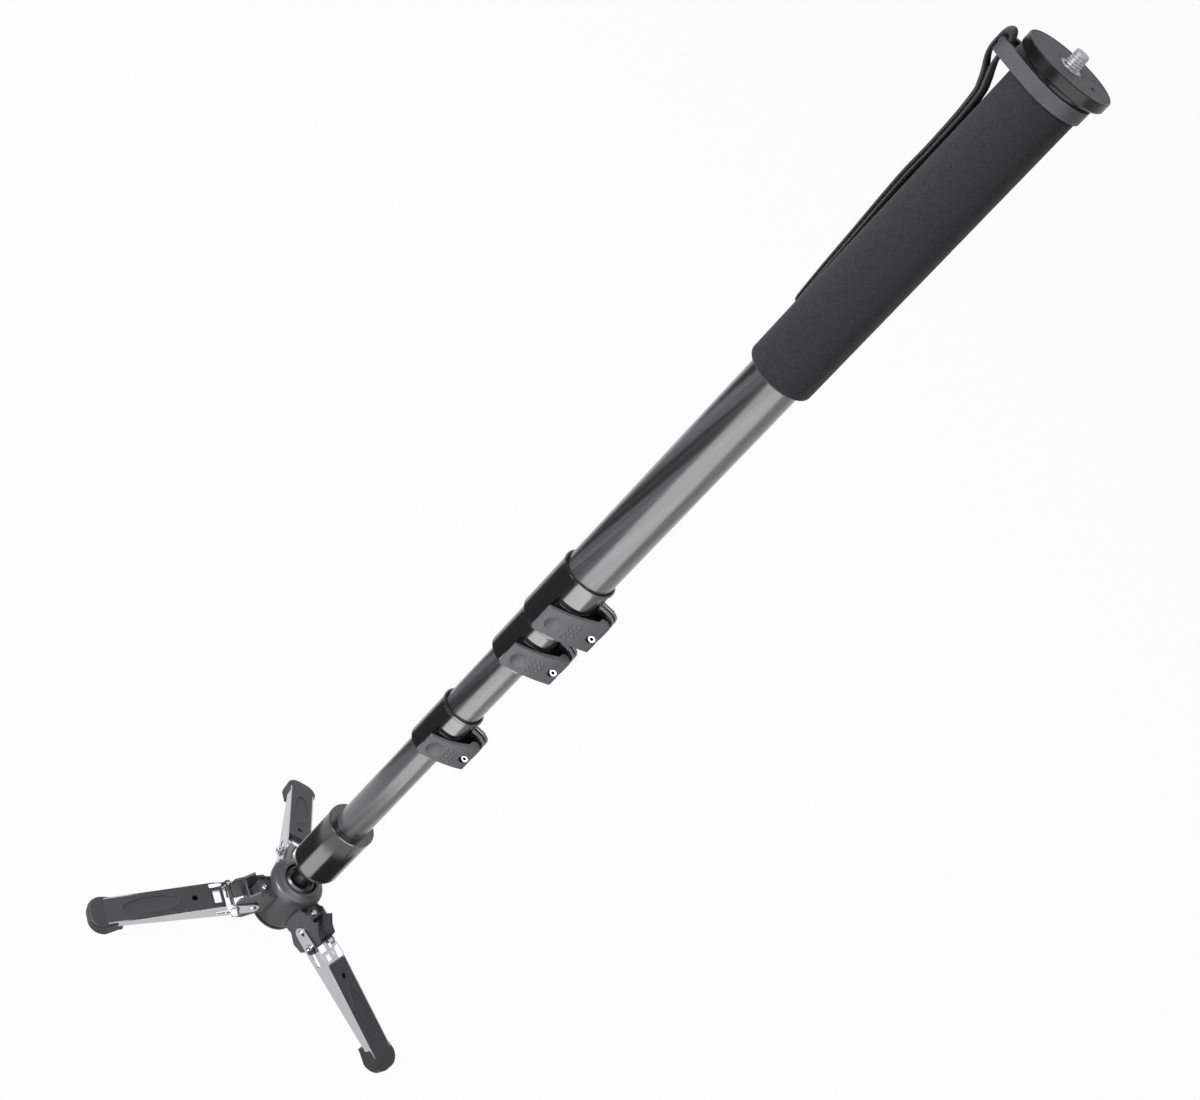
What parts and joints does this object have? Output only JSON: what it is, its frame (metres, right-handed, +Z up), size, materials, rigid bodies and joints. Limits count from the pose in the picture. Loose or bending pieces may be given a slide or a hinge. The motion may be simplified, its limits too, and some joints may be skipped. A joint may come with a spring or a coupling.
{
  "type": "camera monopod",
  "caption": "Camera monopod: telescoping pole with flip locks, foam grip, screw plate and wrist strap, on a ball-jointed base with folding legs.",
  "frame": {"origin": "on the pole's axis, at the floor that the three feet stand on", "axes": "+Z up along the pole, towards the camera screw; -Y is the side that the flip levers face"},
  "size_m": [0.2462, 0.2596, 0.8811],
  "materials": {
    "hub_cast": "satin",
    "bracket_steel": "satin",
    "chrome_steel": "polished",
    "chrome_fittings": "polished",
    "leg_plastic": "matte",
    "foot_rubber": "matte",
    "bearing_plastic": "matte",
    "ball_metal": "satin",
    "screw_steel": "satin",
    "screw_steel_bright": "satin",
    "black_anodised": "gloss",
    "plate_metal": "satin",
    "carbon_tube": "gloss",
    "collar_gloss": "gloss",
    "lever_plastic": "matte",
    "ring_plastic": "matte",
    "grip_foam": "matte",
    "pad_rubber": "matte",
    "strap_webbing": "matte"
  },
  "bodies": {
    "base": {"hub_barrel": "hub_cast", "hub_base_plate": "hub_cast", "hub_screw": "screw_steel", "hub_cap": "hub_cast", "leg_bracket_a": "bracket_steel", "leg_bracket_b": "bracket_steel", "leg_bracket_c": "bracket_steel", "leg_pivot_rivets": "chrome_fittings", "bracket_screws": "chrome_fittings"},
    "ball_cup": {"ball_seat_ring": "bearing_plastic"},
    "ball": {"ball_stem": "ball_metal", "stem_retainer": "screw_steel", "stem_screw": "screw_steel"},
    "section_4": {"base_sleeve": "black_anodised", "sleeve_top_ring": "black_anodised", "pan_bearing": "bearing_plastic", "tube_4": "carbon_tube", "tube_4_guide": "bearing_plastic"},
    "section_3": {"tube_3": "carbon_tube", "tube_3_guide": "bearing_plastic", "lock_3_collar": "collar_gloss", "lock_3_shim": "bearing_plastic", "lock_3_bolt": "chrome_fittings", "lock_3_barrel": "screw_steel"},
    "section_2": {"tube_2": "carbon_tube", "tube_2_guide": "bearing_plastic", "lock_2_collar": "collar_gloss", "lock_2_shim": "bearing_plastic", "lock_2_bolt": "chrome_fittings", "lock_2_barrel": "screw_steel"},
    "section_1": {"tube_1": "carbon_tube", "lock_1_collar": "collar_gloss", "lock_1_shim": "bearing_plastic", "lock_1_bolt": "chrome_fittings", "lock_1_barrel": "screw_steel", "foam_grip": "grip_foam", "head_insert": "black_anodised", "head_collar": "black_anodised", "top_plate": "plate_metal", "plate_pad": "pad_rubber", "camera_screw": "screw_steel_bright", "set_screw": "screw_steel"},
    "strap_swivel": {"strap_ring": "ring_plastic", "wrist_strap": "strap_webbing"},
    "lock_lever_1": {"lever_1": "lever_plastic"},
    "lock_lever_2": {"lever_2": "lever_plastic"},
    "lock_lever_3": {"lever_3": "lever_plastic"},
    "leg_a": {"leg_a_channel": "chrome_steel", "leg_a_cover": "leg_plastic", "leg_a_foot": "foot_rubber"},
    "leg_a_lock": {"lock_pin_a": "chrome_fittings"},
    "leg_b": {"leg_b_channel": "chrome_steel", "leg_b_cover": "leg_plastic", "leg_b_foot": "foot_rubber"},
    "leg_b_lock": {"lock_pin_b": "chrome_fittings"},
    "leg_c": {"leg_c_channel": "chrome_steel", "leg_c_cover": "leg_plastic", "leg_c_foot": "foot_rubber"},
    "leg_c_lock": {"lock_pin_c": "chrome_fittings"}
  },
  "joints": [
    {"name": "lean_direction", "type": "hinge", "parent": "base", "child": "ball_cup", "pos_m": [0, 0, 0.0516], "axis": [0, 0, 1], "continuous": true},
    {"name": "pole_lean", "type": "hinge", "parent": "ball_cup", "child": "ball", "pos_m": [0, 0, 0.0516], "axis": [0, 1, 0], "range_deg": [0, 12]},
    {"name": "pole_turn", "type": "hinge", "parent": "ball", "child": "section_4", "pos_m": [0, 0, 0.076], "axis": [0, 0, 1], "continuous": true},
    {"name": "section_3_slide", "type": "slide", "parent": "section_4", "child": "section_3", "axis": [0, 0, 1], "range_m": [-0.0815, 0.28]},
    {"name": "section_2_slide", "type": "slide", "parent": "section_3", "child": "section_2", "axis": [0, 0, 1], "range_m": [-0.0596, 0.28]},
    {"name": "section_1_slide", "type": "slide", "parent": "section_2", "child": "section_1", "axis": [0, 0, 1], "range_m": [0, 0.33]},
    {"name": "strap_turn", "type": "hinge", "parent": "section_1", "child": "strap_swivel", "pos_m": [0, 0, 0.85645], "axis": [0, 0, 1], "continuous": true},
    {"name": "lever_1_swing", "type": "hinge", "parent": "section_1", "child": "lock_lever_1", "pos_m": [0.03021, -0.00255, 0.40135], "axis": [0, 0, 1], "range_deg": [0, 110]},
    {"name": "lever_2_swing", "type": "hinge", "parent": "section_2", "child": "lock_lever_2", "pos_m": [0.02746, -0.00189, 0.3602], "axis": [0, 0, 1], "range_deg": [0, 110]},
    {"name": "lever_3_swing", "type": "hinge", "parent": "section_3", "child": "lock_lever_3", "pos_m": [0.02497, -0.00166, 0.2557], "axis": [0, 0, 1], "range_deg": [0, 110]},
    {"name": "leg_a_fold", "type": "hinge", "parent": "base", "child": "leg_a", "pos_m": [-0.01928, -0.02389, 0.035], "axis": [0.7782, -0.628, 0], "range_deg": [-108, 0]},
    {"name": "leg_a_pin_slide", "type": "slide", "parent": "leg_a", "child": "leg_a_lock", "axis": [-0.5972, -0.7402, -0.309], "range_m": [0, 0.0126]},
    {"name": "leg_b_fold", "type": "hinge", "parent": "base", "child": "leg_b", "pos_m": [0.03033, -0.00475, 0.035], "axis": [0.1547, 0.988, 0], "range_deg": [-108, 0]},
    {"name": "leg_b_pin_slide", "type": "slide", "parent": "leg_b", "child": "leg_b_lock", "axis": [0.9396, -0.1471, -0.309], "range_m": [0, 0.0126]},
    {"name": "leg_c_fold", "type": "hinge", "parent": "base", "child": "leg_c", "pos_m": [-0.01105, 0.02864, 0.035], "axis": [-0.933, -0.36, 0], "range_deg": [-108, 0]},
    {"name": "leg_c_pin_slide", "type": "slide", "parent": "leg_c", "child": "leg_c_lock", "axis": [-0.3424, 0.8873, -0.309], "range_m": [0, 0.0126]}
  ],
  "couplings": [
    {"joint": "leg_a_pin_slide", "follows": "leg_a_fold", "m_per_rad": -0.0066812},
    {"joint": "leg_b_pin_slide", "follows": "leg_b_fold", "m_per_rad": -0.0066812},
    {"joint": "leg_c_pin_slide", "follows": "leg_c_fold", "m_per_rad": -0.0066812}
  ]
}
